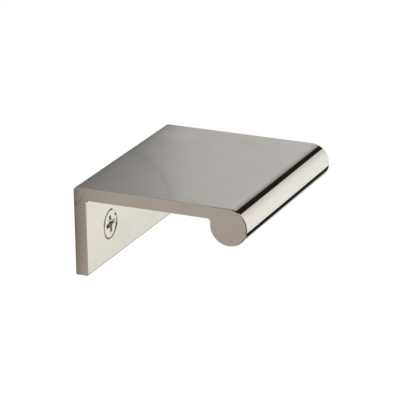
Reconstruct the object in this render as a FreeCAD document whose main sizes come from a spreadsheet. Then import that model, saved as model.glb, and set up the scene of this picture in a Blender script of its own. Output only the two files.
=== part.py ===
"""Tab pull: a length of angle with a round bead along its front edge, and its two screws.

Frame, in millimetres: the origin is on the back face of the plate, midway between the two
screw axes. +X runs along the pull, -Y points out towards the hand, +Y into the drawer front,
and +Z is up.
"""
import FreeCAD, Part
import math
import os

import Sketcher
from FreeCAD import Placement, Rotation, Vector

# Driving dimensions: alias, value, what it is
SIZES = [
    ("pull_length", 50.8, "length along X, 2 in"),
    ("projection", 44.45, "back face to the front of the bead, 1 3/4 in"),
    ("pull_height", 22.225, "bottom of the plate to the top of the tab, 7/8 in"),
    ("plate_thickness", 3.2, "screw plate, about 1/8 in"),
    ("tab_thickness", 3.175, "tab, 1/8 in"),
    ("bead_diameter", 9.25, "round bead along the front edge"),
    ("outer_corner_radius", 1.0, "bend between the back face and the top"),
    ("inner_corner_radius", 0.3, "corner between the plate and the underside of the tab"),
    ("bead_fillet_radius", 0.8, "hollow where the underside of the tab runs into the bead"),
    ("foot_radius", 0.4, "bottom front edge of the plate"),
    ("edge_break", 0.25, "polished radius on the cut ends and the bottom back edge"),
    ("screw_spacing", 25.4, "centre to centre of the two screws, 1 in"),
    ("screw_axis_height", 9.0, "screw axis above the bottom of the plate"),
    ("hole_gap", 0.25, "clearance round the thread in its hole"),
    ("seat_gap", 0.05, "clearance between the head's cone and the countersink"),
    ("head_angle", 82.0, "full angle of the head's cone and of its countersink"),
    ("head_diameter", 6.9, "flat screw head"),
    ("head_sink", 0.05, "depth of the head's flat face below the plate"),
    ("rim_height", 0.1, "short cylinder between the flat face and the cone"),
    ("shank_diameter", 3.0, "plain shank under the head"),
    ("thread_diameter", 3.5, "outside of the thread, No. 6"),
    ("thread_setback", 0.1, "start of the thread behind the back face"),
    ("screw_length", 8.0, "flat face to the tip"),
    ("point_length", 2.4, "tapered point"),
    ("tip_diameter", 0.4, "blunt end of the point"),
    ("recess_span", 4.4, "driver recess, tip to tip of its wings at the flat face"),
    ("recess_floor_span", 2.3, "the same at the floor"),
    ("wing_width", 1.1, "width of a wing at the flat face"),
    ("wing_floor_width", 0.9, "the same at the floor"),
    ("recess_depth", 2.1, "depth of the wings"),
    ("core_diameter", 2.2, "round middle of the recess at the flat face"),
    ("core_floor_diameter", 1.5, "the same at the floor"),
    ("core_tip_depth", 0.3, "hollow cone below the floor"),
    ("near_turn", 7.0, "degrees that the screw on the -X side is turned anticlockwise"),
    ("far_turn", 38.0, "the same for the screw on the +X side"),
]
FIRST_ROW = 2

# Node names
PULL = "pull_body"
SCREWS = "mounting_screws"

# Points of a sketch's line or arc, and a sketch's own axes and origin
START, END, CENTRE = range(1, 4)
HORIZONTAL_AXIS, VERTICAL_AXIS = range(-1, -3, -1)
ORIGIN = (HORIZONTAL_AXIS, START)

# How near an edge must lie to the place it is looked for, in millimetres
EDGE_REACH = 1e-3

FULL_TURN = 360
QUARTER_TURN = 90


def fill_sheet(doc):
    """Write the driving dimensions as aliased cells."""
    sheet = doc.addObject("Spreadsheet::Sheet", "sizes")
    sheet.set("A1", "name")
    sheet.set("B1", "value")
    sheet.set("C1", "what it is")
    for row, (alias, value, meaning) in enumerate(SIZES, start=FIRST_ROW):
        sheet.set(f"A{row}", alias)
        sheet.set(f"B{row}", str(value))
        sheet.set(f"C{row}", meaning)
        sheet.setAlias(f"B{row}", alias)
    doc.recompute()
    return sheet


def plane(body, role):
    """The body's own origin plane with this role."""
    for feature in body.Origin.OriginFeatures:
        if feature.Role == role:
            return feature
    raise ValueError(f"{body.Label} has no {role}")


def new_sketch(body, name, role, offset=None):
    """A sketch on one of the body's origin planes, moved off it by a named distance."""
    sketch = body.newObject("Sketcher::SketchObject", name)
    sketch.AttachmentSupport = [(plane(body, role), "")]
    sketch.MapMode = "FlatFace"
    if offset:
        sketch.setExpression("AttachmentOffset.Base.z", offset)
    return sketch


def bind(sketch, name, formula, kind, *where):
    """Add a dimension to the sketch and tie it to the sheet."""
    value = sketch.evalExpression(formula)
    index = sketch.addConstraint(Sketcher.Constraint(kind, *where, value))
    sketch.renameConstraint(index, name)
    sketch.setExpression(f"Constraints.{name}", formula)


def draw_outline(sketch, corners):
    """A closed outline of straight lines, each corner placed by two formulas on the sheet."""
    places = []
    for x_formula, y_formula in corners:
        x = sketch.evalExpression(x_formula)
        y = sketch.evalExpression(y_formula)
        places.append(Vector(x, y, 0))
    following = places[1:] + places[:1]
    lines = []
    for start, end in zip(places, following):
        lines.append(sketch.addGeometry(Part.LineSegment(start, end), False))
    for line, next_line in zip(lines, lines[1:] + lines[:1]):
        sketch.addConstraint(Sketcher.Constraint("Coincident", line, END, next_line, START))
    for number, (line, (x_formula, y_formula)) in enumerate(zip(lines, corners)):
        bind(sketch, f"corner_{number}_x", x_formula, "DistanceX", *ORIGIN, line, START)
        bind(sketch, f"corner_{number}_y", y_formula, "DistanceY", *ORIGIN, line, START)


def edges_near(shape, place):
    """Names of the straight edges along X that pass through a place in the YZ plane."""
    y, z = place
    names = []
    for index, edge in enumerate(shape.Edges, start=1):
        box = edge.BoundBox
        off_y = max(abs(box.YMin - y), abs(box.YMax - y))
        off_z = max(abs(box.ZMin - z), abs(box.ZMax - z))
        if max(off_y, off_z) < EDGE_REACH:
            names.append(f"Edge{index}")
    return names


def edges_at_end(shape, x):
    """Names of the edges that outline the end face at this x."""
    names = []
    for index, edge in enumerate(shape.Edges, start=1):
        box = edge.BoundBox
        if max(abs(box.XMin - x), abs(box.XMax - x)) < EDGE_REACH:
            names.append(f"Edge{index}")
    return names


def round_edges(body, name, base, edges, radius):
    """Fillet these edges of the base feature with a radius from the sheet."""
    fillet = body.newObject("PartDesign::Fillet", name)
    fillet.Base = (base, edges)
    fillet.setExpression("Radius", f"sizes.{radius}")
    body.Document.recompute()
    return fillet


def pull_profile(body, sheet):
    """The pull's cross-section on the YZ plane: plate, tab and bead."""
    top = sheet.pull_height - sheet.screw_axis_height
    bottom = -sheet.screw_axis_height
    under = top - sheet.tab_thickness
    corner = sheet.outer_corner_radius
    bead = sheet.bead_diameter / 2
    bead_y = bead - sheet.projection
    bead_z = top - bead
    bead_end = math.asin((under - bead_z) / bead)
    junction_y = bead_y + bead * math.cos(bead_end)

    sketch = new_sketch(body, "pull_profile", "YZ_Plane")
    normal = Vector(0, 0, 1)

    def line(start, end):
        segment = Part.LineSegment(Vector(*start, 0), Vector(*end, 0))
        return sketch.addGeometry(segment, False)

    def arc(centre, radius, first, last):
        circle = Part.Circle(Vector(*centre, 0), normal, radius)
        return sketch.addGeometry(Part.ArcOfCircle(circle, first, last), False)

    back = line((0, bottom), (0, top - corner))
    bend = arc((-corner, top - corner), corner, 0, math.pi / 2)
    tab_top = line((-corner, top), (bead_y, top))
    round_bead = arc((bead_y, bead_z), bead, math.pi / 2, 2 * math.pi + bead_end)
    underside = line((junction_y, under), (-sheet.plate_thickness, under))
    front = line((-sheet.plate_thickness, under), (-sheet.plate_thickness, bottom))
    foot = line((-sheet.plate_thickness, bottom), (0, bottom))

    def rule(kind, *where):
        sketch.addConstraint(Sketcher.Constraint(kind, *where))

    rule("Tangent", back, END, bend, START)
    rule("Tangent", bend, END, tab_top, START)
    rule("Tangent", tab_top, END, round_bead, START)
    rule("Coincident", round_bead, END, underside, START)
    rule("Coincident", underside, END, front, START)
    rule("Coincident", front, END, foot, START)
    rule("Coincident", foot, END, back, START)
    rule("PointOnObject", back, START, VERTICAL_AXIS)
    rule("Vertical", back)
    rule("Horizontal", tab_top)
    rule("Horizontal", underside)
    rule("Vertical", front)
    rule("Horizontal", foot)

    bind(sketch, "axis_height", "sizes.screw_axis_height",
         "DistanceY", back, START, *ORIGIN)
    bind(sketch, "height", "sizes.pull_height",
         "DistanceY", back, START, bend, END)
    bind(sketch, "corner", "sizes.outer_corner_radius", "Radius", bend)
    bind(sketch, "bead", "sizes.bead_diameter", "Diameter", round_bead)
    bind(sketch, "bead_reach", "sizes.projection - sizes.bead_diameter / 2",
         "DistanceX", round_bead, CENTRE, *ORIGIN)
    bind(sketch, "tab", "sizes.tab_thickness",
         "DistanceY", underside, END, tab_top, START)
    bind(sketch, "plate", "sizes.plate_thickness",
         "DistanceX", foot, START, foot, END)
    return sketch, (junction_y, under), (-sheet.plate_thickness, under)


def build_pull(doc, sheet):
    """The pull: extruded section, softened edges and two countersunk holes."""
    body = doc.addObject("PartDesign::Body", PULL)
    profile, junction, inner_corner = pull_profile(body, sheet)

    bar = body.newObject("PartDesign::Pad", "bar")
    bar.Profile = profile
    bar.SideType = "Symmetric"
    bar.setExpression("Length", "sizes.pull_length")
    doc.recompute()

    hollow = round_edges(body, "bead_hollow", bar, edges_near(bar.Shape, junction),
                         "bead_fillet_radius")
    corner = round_edges(body, "inner_corner", hollow,
                         edges_near(hollow.Shape, inner_corner), "inner_corner_radius")

    bottom = -sheet.screw_axis_height
    half = sheet.pull_length / 2
    foot = round_edges(body, "foot_edge", corner,
                       edges_near(corner.Shape, (-sheet.plate_thickness, bottom)),
                       "foot_radius")
    soft = edges_near(foot.Shape, (0, bottom))
    soft += edges_at_end(foot.Shape, -half)
    soft += edges_at_end(foot.Shape, half)
    round_edges(body, "soft_edges", foot, soft, "edge_break")

    cut_screw_holes(body, sheet)
    return body


def cut_screw_holes(body, sheet):
    """Two countersunk clearance holes, cut from the front of the plate."""
    doc = body.Document
    sketch = new_sketch(body, "screw_centres", "XZ_Plane", "sizes.plate_thickness")
    bore = "sizes.thread_diameter + 2 * sizes.hole_gap"
    mouth = ("sizes.head_diameter + 2 * sizes.seat_gap"
             " + 2 * (sizes.head_sink + sizes.rim_height)"
             " * tan(sizes.head_angle / 2)")
    radius = sheet.thread_diameter / 2 + sheet.hole_gap
    half = sheet.screw_spacing / 2
    rings = []
    for side in (-1, 1):
        circle = Part.Circle(Vector(side * half, 0, 0), Vector(0, 0, 1), radius)
        rings.append(sketch.addGeometry(circle, False))
    near, far = rings
    sketch.addConstraint(Sketcher.Constraint("Equal", near, far))
    sketch.addConstraint(
        Sketcher.Constraint("Symmetric", near, CENTRE, far, CENTRE, *ORIGIN))
    sketch.addConstraint(Sketcher.Constraint("PointOnObject", near, CENTRE, HORIZONTAL_AXIS))
    bind(sketch, "bore", bore, "Diameter", near)
    bind(sketch, "spacing", "sizes.screw_spacing",
         "DistanceX", near, CENTRE, far, CENTRE)
    doc.recompute()

    holes = body.newObject("PartDesign::Hole", "countersunk_holes")
    holes.Profile = sketch
    doc.recompute()
    holes.ThreadType = "None"
    holes.DepthType = "ThroughAll"
    holes.HoleCutType = "Countersink"
    holes.HoleCutCustomValues = True
    holes.setExpression("Diameter", bore)
    holes.setExpression("HoleCutDiameter", mouth)
    holes.setExpression("HoleCutCountersinkAngle", "sizes.head_angle")
    doc.recompute()


def screw_blank(body):
    """The screw turned about its own Y axis: flat head, cone, shank, thread and point."""
    sketch = new_sketch(body, f"{body.Label}_profile", "XY_Plane")
    head = "sizes.head_diameter / 2"
    shank = "sizes.shank_diameter / 2"
    thread = "sizes.thread_diameter / 2"
    cone_end = ("sizes.rim_height + (sizes.head_diameter - sizes.shank_diameter) / 2"
                " / tan(sizes.head_angle / 2)")
    thread_start = "sizes.plate_thickness - sizes.head_sink + sizes.thread_setback"
    draw_outline(sketch, [
        ("0", "0"),
        (head, "0"),
        (head, "sizes.rim_height"),
        (shank, cone_end),
        (shank, thread_start),
        (thread, thread_start),
        (thread, "sizes.screw_length - sizes.point_length"),
        ("sizes.tip_diameter / 2", "sizes.screw_length"),
        ("0", "sizes.screw_length"),
    ])
    blank = body.newObject("PartDesign::Revolution", f"{body.Label}_blank")
    blank.Profile = sketch
    blank.ReferenceAxis = (sketch, ["V_Axis"])
    blank.Angle = FULL_TURN


def wing_sketch(body, name, span, width, depth):
    """A rectangle across the head, some way below its flat face."""
    sketch = new_sketch(body, name, "XZ_Plane", depth)
    half_span = f"sizes.{span} / 2"
    half_width = f"sizes.{width} / 2"
    draw_outline(sketch, [
        (f"-{half_span}", f"-{half_width}"),
        (half_span, f"-{half_width}"),
        (half_span, half_width),
        (f"-{half_span}", half_width),
    ])
    return sketch


def cross_recess(body):
    """The driver recess: a round tapered core and two crossed tapered slots."""
    name = body.Label
    core_sketch = new_sketch(body, f"{name}_core", "XY_Plane")
    draw_outline(core_sketch, [
        ("0", "0"),
        ("sizes.core_diameter / 2", "0"),
        ("sizes.core_floor_diameter / 2", "sizes.recess_depth"),
        ("0", "sizes.recess_depth + sizes.core_tip_depth"),
    ])
    core = body.newObject("PartDesign::Groove", f"{name}_core_cut")
    core.Profile = core_sketch
    core.ReferenceAxis = (core_sketch, ["V_Axis"])
    core.Angle = FULL_TURN

    mouth = wing_sketch(body, f"{name}_wing_mouth", "recess_span", "wing_width", None)
    floor = wing_sketch(body, f"{name}_wing_floor", "recess_floor_span",
                        "wing_floor_width", "-sizes.recess_depth")
    slot = body.newObject("PartDesign::SubtractiveLoft", f"{name}_slot")
    slot.Profile = mouth
    slot.Sections = [floor]
    slot.Ruled = True

    cross = body.newObject("PartDesign::PolarPattern", f"{name}_cross")
    cross.Originals = [slot]
    cross.Axis = (mouth, ["N_Axis"])
    cross.Angle = QUARTER_TURN
    cross.Occurrences = 2
    body.Tip = cross


def build_screw(doc, name, side, turn):
    """One screw, seated in the hole on the -X side (-1) or the +X side (1)."""
    body = doc.addObject("PartDesign::Body", name)
    screw_blank(body)
    cross_recess(body)
    body.Placement = Placement(Vector(0, 0, 0), Rotation(Vector(0, -1, 0), 1))
    body.setExpression("Placement.Base.x", f"{side} * sizes.screw_spacing / 2")
    body.setExpression("Placement.Base.y", "sizes.head_sink - sizes.plate_thickness")
    body.setExpression("Placement.Rotation.Angle", f"sizes.{turn}")
    return body


def build_screws(doc):
    """Both screws as one group of separate solids."""
    group = doc.addObject("Part::Compound", SCREWS)
    group.Links = [
        build_screw(doc, "near_screw", -1, "near_turn"),
        build_screw(doc, "far_screw", 1, "far_turn"),
    ]
    doc.recompute()
    return group


def check(doc, parts):
    """Stop if a feature failed or a part's shape is not sound."""
    for item in doc.Objects:
        if "Invalid" in item.State or "Error" in item.State:
            raise RuntimeError(f"{item.Label} failed: {item.State}")
    for part, solids in parts:
        if part.Shape.isNull() or not part.Shape.isValid():
            raise RuntimeError(f"{part.Label} has no valid shape")
        if len(part.Shape.Solids) != solids:
            raise RuntimeError(f"{part.Label} has {len(part.Shape.Solids)} solids")


def main():
    doc = FreeCAD.newDocument("tab_pull")
    sheet = fill_sheet(doc)
    parts = [(build_pull(doc, sheet), 1), (build_screws(doc), 2)]
    doc.recompute()
    check(doc, parts)
    os.makedirs("parts", exist_ok=True)
    for part, solids in parts:
        part.Shape.exportStep(f"parts/{part.Label}.step")
        box = part.Shape.BoundBox
        print(f"{part.Label}: {solids} solid(s), {part.Shape.Volume:.2f} mm3, "
              f"x {box.XMin:.3f} to {box.XMax:.3f}, y {box.YMin:.3f} to {box.YMax:.3f}, "
              f"z {box.ZMin:.3f} to {box.ZMax:.3f}")


main()
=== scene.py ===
"""Looks of a tab pull: polished nickel section, two countersunk screws and the studio round it.

All lengths are in metres, in the same frame as the solids: the origin is on the back face of
the screw plate, midway between the screws, +X runs along the pull, -Y points to the hand and
+Z is up.
"""
import math
from dataclasses import dataclass

import bmesh
import bpy
from bpy.props import FloatProperty, FloatVectorProperty, IntProperty, PointerProperty
from mathutils import Matrix, Vector
from mathutils.geometry import tessellate_polygon


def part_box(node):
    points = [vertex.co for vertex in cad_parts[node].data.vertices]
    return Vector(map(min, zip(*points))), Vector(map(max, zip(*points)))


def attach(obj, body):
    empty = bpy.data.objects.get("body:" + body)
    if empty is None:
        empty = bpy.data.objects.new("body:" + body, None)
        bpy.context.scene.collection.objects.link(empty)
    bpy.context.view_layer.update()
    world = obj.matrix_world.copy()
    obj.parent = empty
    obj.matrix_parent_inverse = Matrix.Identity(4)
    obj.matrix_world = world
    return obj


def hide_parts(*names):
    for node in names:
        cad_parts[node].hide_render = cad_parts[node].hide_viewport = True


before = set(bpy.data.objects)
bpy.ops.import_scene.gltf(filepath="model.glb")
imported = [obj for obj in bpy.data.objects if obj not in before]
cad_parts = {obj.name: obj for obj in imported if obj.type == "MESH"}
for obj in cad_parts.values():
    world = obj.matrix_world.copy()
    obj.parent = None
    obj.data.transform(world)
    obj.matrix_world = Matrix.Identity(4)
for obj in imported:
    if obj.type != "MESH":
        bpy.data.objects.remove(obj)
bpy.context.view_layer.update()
PULL_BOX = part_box("pull_body")
SCREW_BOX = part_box("mounting_screws")

bl_info = {
    "name": "Tab pull",
    "version": (1, 0, 0),
    "blender": (4, 5, 0),
    "location": "3D View > Sidebar > Tab pull",
    "description": "Builds a polished nickel tab pull, its screws and a plain studio",
    "category": "Object",
}

MM = 0.001
BODY = "root"
FULL_TURN = 2 * math.pi
HALF_TURN = math.pi
QUARTER_TURN = math.pi / 2
FULL_CLOCK = 360
# The way the screws' flat faces and the front of the plate look
TO_HAND = (0, -1, 0)

# Corners to each round stretch of the section, each cut end's edge and each circle
OUTER_STEPS = 16
BEAD_STEPS = 200
HOLLOW_STEPS = 20
INNER_STEPS = 12
FOOT_STEPS = 8
EDGE_STEPS = 8
HOLE_STEPS = 96
CORE_STEPS = 48
SPECK_STEPS = 24
# Which of the section's arcs come just before the plate's front and just before its back
INNER_ARC = 3
HEEL_ARC = 5
# Edges of the screws that turn by more than this, in degrees, stay crisp
CREASE = 28
# The cutters of the recess stand above the flat face by its depth over CUTTER_RISE, and its
# pointed floor ends at the floor's radius over CORE_POINT
CUTTER_RISE = 4
CORE_POINT = 25

# Material slots: the first two are on every piece, RIM_SLOT on the screws and DARK_SLOT on
# the films round their heads
POLISH_SLOT = 0
COMPOUND_SLOT = 1
RIM_SLOT = 2
DARK_SLOT = 2

PLAIN_WHITE = (1.0, 1.0, 1.0)
FLOOR_WHITE = (0.97, 0.97, 0.97)
# Share of the floor's white that its own glow gives; the rest takes the shadow
FLOOR_GLOW = 0.85
FLOOR_HALF_WIDTH = 4.0
KEY_PLACE = (-0.35, -0.6, 0.7)
KEY_TARGET = (0, -0.02, 0)
KEY_SIZE = 0.6
CLIP_START = 0.01
CLIP_END = 20.0

# Cards that the metal mirrors: where they stand, in metres, and their tones along X or Y
ALONG_X = (1.0, 0.0)
ALONG_Y = (0.0, 1.0)
CARD_REACH = 3.0
BACKDROP_Y = 0.30
BACKDROP_TOP = 0.80
BACKDROP_TINT = (0.98, 0.986, 1.008)
BACKDROP_TONES = [
    (-0.180, 0.50),
    (-0.060, 0.31),
    (0.560, 0.31),
    (0.600, 0.35),
    (0.625, 0.39),
    (0.650, 0.48),
    (0.675, 0.54),
    (0.710, 0.575),
    (0.850, 0.63),
]
OVERHEAD_HEIGHT = 0.31
BROW_TONES = [
    (-0.363, 0.90),
    (-0.284, 0.82),
    (-0.2345, 0.72),
    (-0.2265, 0.017),
    (-0.056, 0.017),
]
OVERHEAD_TONES = [
    (-0.914, 1.05),
    (-0.470, 0.985),
    *BROW_TONES,
    (-0.041, 0.26),
    (0.008, 0.48),
    (0.052, 0.55),
    (0.094, 0.58),
]
# The dark stretch overhead narrows along X: its edge to the wall runs askew by one share, and
# its edge to the hand, on a small card below it, by another. Each list is true at one X
OVERHEAD_SLANT = 0.1
OVERHEAD_X = 0.476
BROW_DROP = 0.001
BROW_SLANT = -0.247
BROW_X = 0.608
BROW_SIDES = (0.45, 0.80)
BROW_ENDS = (-0.262, -0.170)
FRONT_Y = -0.80
FRONT_TOP = 0.40
FRONT_TONES = [
    (-1.05, 1.08),
    (-1.00, 0.08),
    (-0.14, 0.08),
    (-0.06, 1.08),
]
# Height of the lower card over the floor, and of the small cards over that one
LOWER_LIFT = 0.002
STRIP_FRONT = [
    (-0.232, 0.985),
    (-0.215, 1.00),
    (-0.190, 1.06),
    (-0.174, 1.06),
    (-0.169, 0.015),
]
STRIP_MIDDLE = (-0.080, 0.015)
STRIP_BACK = [
    (-0.060, 0.025),
    (-0.040, 0.05),
    (-0.020, 0.13),
    (0.000, 0.29),
    (0.020, 0.52),
    (0.035, 0.72),
    (0.060, 0.82),
    (0.120, 0.93),
    (0.200, 1.00),
]
LOWER_TONES = [
    (-0.700, 1.10),
    (-0.400, 1.10),
    (-0.300, 1.04),
    (-0.264, 1.07),
    (-0.248, 1.03),
    *STRIP_FRONT,
    *STRIP_BACK,
]
# Under the bead the dark strip's back edge runs askew: its tones go by Y plus a share of X
STRIP_SLANT = 0.61
STRIP_X = 0.358
STRIP_SIDES = (0.25, 0.42)
STRIP_ENDS = (-0.150, 0.190)
STRIP_TONES = [STRIP_MIDDLE, *STRIP_BACK]
# So does its front edge, by another share
EDGE_SLANT = 0.307
EDGE_X = 0.4435
EDGE_SIDES = (0.30, 0.60)
EDGE_ENDS = (-0.215, -0.150)
EDGE_TONES = [*STRIP_FRONT, STRIP_MIDDLE]
REAR_LEFT_START = -0.010
REAR_LEFT_END = 0.20
REAR_RIGHT_START = 0.195
REAR_TINT = (1.0, 0.922, 0.875)
# Along X: the left card is a little brighter where the foot of the plate's end mirrors it
REAR_LEFT_TONES = [
    (-0.535, 0.500),
    (-0.515, 0.475),
    (-0.500, 0.485),
    (-0.485, 0.520),
    (-0.477, 0.545),
    (-0.465, 0.600),
]
REAR_RIGHT_TONES = [(0.20, 0.504), (3.0, 0.504)]
PATCH_TONES = [(-0.75, 0.12), (-0.32, 0.12)]
PATCH_HALF_WIDTH = 0.27

# Noise in the nickel, as features to the metre, detail and distortion: waves and swirls
WAVES = (55.0, 1.0, 0.5)
SWIRLS = (70.0, 3.0, 2.2)
# Height of the waves on the pull and on the screws, in metres
PULL_WAVE = 0.00003
SCREW_WAVE = 0.00001
# A range of the swirls, and the range of roughness or share of the dull tone that it gives
HAZE = (0.35, 0.75, 0.03, 0.09)
DULLNESS = (0.45, 0.8, 0.0, 0.35)
# How fast the painted shade along the back fades as a face turns to the front, and the
# upward slopes between which the buff's arc sets in
SIDEWAYS_POWER = 4.0
UPWARD = (0.6, 0.95)

# Grain of the compound, in features to the metre, its noise's detail and distortion, the
# range of noise that mottles it, its roughness and the height of its grain in metres
GRAIN = 1500.0
RECESS_GRAIN = 2500.0
MOTTLE = (4.0, 0.3)
MOTTLE_RANGE = (0.3, 0.7)
COMPOUND_ROUGHNESS = (0.5, 0.7)
COMPOUND_HEIGHT = 0.00002

# Painted shade on the nickel by distance from the back edge, in millimetres: it stands for the
# darker reflection of the rolled-off back edge
PAINTED_BACK_SHADE = [
    (-14.0, 1.0),
    (-10.0, 0.96),
    (-6.0, 0.89),
    (-3.0, 0.84),
    (-2.0, 0.76),
    (-1.0, 0.64),
    (-0.3, 0.50),
    (-0.05, 0.28),
]
# Share of the blue that is left all along the painted back shade
BACK_WARMTH = 0.98
# The darker the painted shade gets, the browner: its powers in green and blue
BACK_GREEN = 1.03
BACK_BLUE = 1.08
# The screw plate is duller and yellower than the tab; one tint gives way to the other here
PLATE_TINT = (0.962, 0.968, 0.935)
PLATE_TINT_REACH = (-3.60, -3.25)

# Darker spots and bands, a clouded patch and painted light on the pull, in millimetres and
# degrees: middle, turn, half sizes, tone
SPOTS_AND_PAINTED_LIGHT = [
    # Much darker in the inner corner, by the near end
    ((-24.55, -3.20, 9.66), (0, 0, 0), (0.50, 0.30, 0.36), (0.08, 0.065, 0.05)),
    # Darker bands on the near cut end and the top face
    ((-25.40, -1.95, 10.40), (124.6, 0, 0), (0.30, 2.80, 0.36), (0.86, 0.86, 0.86)),
    ((-25.40, -0.66, 9.20), (0, 0, 0), (0.30, 0.42, 0.70), (0.68, 0.70, 0.72)),
    ((18.3, -26.6, 13.225), (0, 0, 58.0), (7.8, 2.3, 0.30), (0.945, 0.945, 0.945)),
    # Painted lighter reflection towards the far back corner, lifting the painted back shade, and
    # a clouded patch on the plate
    ((19.5, -7.0, 13.225), (0, 0, 0), (7.5, 6.2, 1.0), (1.10, 1.12, 1.13)),
    ((-5.2, -3.2, -4.0), (0, 0, 0), (5.5, 0.5, 5.0), (0.965, 0.960, 0.958)),
    # Painted highlight: rosier and brighter stretches of the bead's reflection
    ((-17.2, -43.4, 11.4), (0, 0, 0), (8.0, 1.3, 1.3), (1.0, 0.955, 0.945)),
    ((3.0, -43.3, 11.6), (0, 0, 0), (15.0, 0.9, 0.9), (1.06, 1.03, 1.01)),
]
# Each spot fades from this share of its half size outwards
SPOT_EDGE = 0.45
# Painted shade and painted highlights over the compound in the near screw's recess, each along a
# slanting line into it
INTO_RECESS = (-20, 0, -65)
RECESS_PAINTED_LIGHT_AND_SHADE = [
    ((-13.22, -3.20, 1.42), INTO_RECESS, (0.42, 9.0, 0.36), (0.19, 0.15, 0.11)),
    ((-14.53, -3.20, 0.63), INTO_RECESS, (0.38, 9.0, 0.40), (0.17, 0.13, 0.09)),
    ((-14.58, -3.20, -0.33), INTO_RECESS, (0.42, 9.0, 0.50), (0.17, 0.13, 0.09)),
    ((-13.65, -3.20, -0.06), INTO_RECESS, (0.48, 9.0, 0.40), (0.72, 0.48, 0.20)),
    ((-11.42, -3.20, 0.32), INTO_RECESS, (0.50, 9.0, 0.50), (0.64, 0.54, 0.41)),
]
# A polished sliver laid across the near screw's recess, there for the glint it gives: X and Z
# from the screw's axis, in millimetres
GLINT_SLIVER = [(-1.38, 0.93), (0.85, 0.50), (0.87, 0.76), (-1.36, 1.21)]

# Arc left by the buff on the top face, in metres: centre, then shade by radius
BUFF_CENTRE = (-0.0558, 0.0416)
BUFF_TONES = [
    (0.0690, 1.0),
    (0.0712, 0.96),
    (0.0722, 0.95),
    (0.0726, 0.94),
    (0.0732, 0.86),
    (0.0735, 0.88),
    (0.0740, 0.935),
    (0.0765, 1.0),
]

# Painted dark reflection on the rims of the bead's ends, standing for the dark that their rounded
# edges mirror: its colour, the slopes and the reach that it fades over
RIM_PAINTED_DARK = (0.12, 0.10, 0.08)
RIM_START = (0.12, 0.24)
RIM_END = (0.90, 0.97)
RIM_TOP = (0.50, 0.70)
RIM_BOTTOM = (-0.35, -0.15)
RIM_REACH = (-0.036, -0.034)

# Polishing compound round each screw: clock degrees seen from the front, then the distance
# from the screw's axis to the middle of the line and the line's width, in millimetres
NEAR_RING = [
    (0, 3.58, 0.50),
    (14, 3.52, 0.46),
    (23, 3.46, 0.00),
    (70, 3.46, 0.00),
    (84, 3.42, 0.20),
    (104, 3.24, 0.52),
    (120, 3.24, 0.66),
    (138, 3.36, 0.42),
    (165, 3.48, 0.30),
    (182, 3.58, 0.34),
    (210, 3.68, 0.44),
    (225, 3.72, 0.52),
    (240, 3.62, 0.52),
    (255, 3.54, 0.50),
    (270, 3.46, 0.50),
    (285, 3.48, 0.78),
    (298, 3.50, 0.80),
    (320, 3.57, 0.62),
    (345, 3.56, 0.52),
]
FAR_RING = [
    (0, 3.54, 0.34),
    (60, 3.50, 0.60),
    (120, 3.54, 0.30),
    (170, 3.60, 0.44),
    (250, 3.50, 0.60),
    (290, 3.54, 0.00),
    (350, 3.54, 0.00),
]
# The darkest stretches of the near screw's line
NEAR_DARK = [
    (0, 3.58, 0.34),
    (12, 3.52, 0.28),
    (20, 3.46, 0.00),
    (98, 3.20, 0.00),
    (105, 3.23, 0.74),
    (120, 3.23, 0.34),
    (135, 3.34, 0.08),
    (150, 3.40, 0.02),
    (186, 3.60, 0.06),
    (195, 3.65, 0.24),
    (206, 3.68, 0.10),
    (225, 3.76, 0.26),
    (236, 3.66, 0.00),
    (274, 3.44, 0.00),
    (285, 3.44, 0.36),
    (296, 3.50, 0.00),
    (342, 3.57, 0.00),
]
# A single speck on the near screw's head: clock degrees, distance from the axis, radius
SPECK = (59, 3.03, 0.32)
# Heights of the polished bridge over the joint and of the compound on it, and how far the
# bridge laps over both sides, in millimetres
BRIDGE_HEIGHT = 0.003
FILM_HEIGHT = 0.006
DARK_HEIGHT = 0.008
BRIDGE_LAP = 0.04


def millimetres(name, value, description):
    """A length property whose default is given in millimetres."""
    return FloatProperty(name=name, description=description, default=value * MM,
                         min=0.0, precision=5, unit="LENGTH")


def measured(name, value, description):
    """A length property whose default comes from the solids, in metres."""
    return FloatProperty(name=name, description=description, default=value, unit="LENGTH")


def colour(name, value, description):
    """A colour property, linear red, green and blue."""
    return FloatVectorProperty(name=name, description=description, default=value,
                               min=0.0, max=1.0, size=3, subtype="COLOR")


def number(name, value, description):
    """A plain number property."""
    return FloatProperty(name=name, description=description, default=value, precision=4)


def angle(name, degrees, description):
    """An angle property whose default is given in degrees."""
    return FloatProperty(name=name, description=description, default=math.radians(degrees),
                         subtype="ANGLE")


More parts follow.
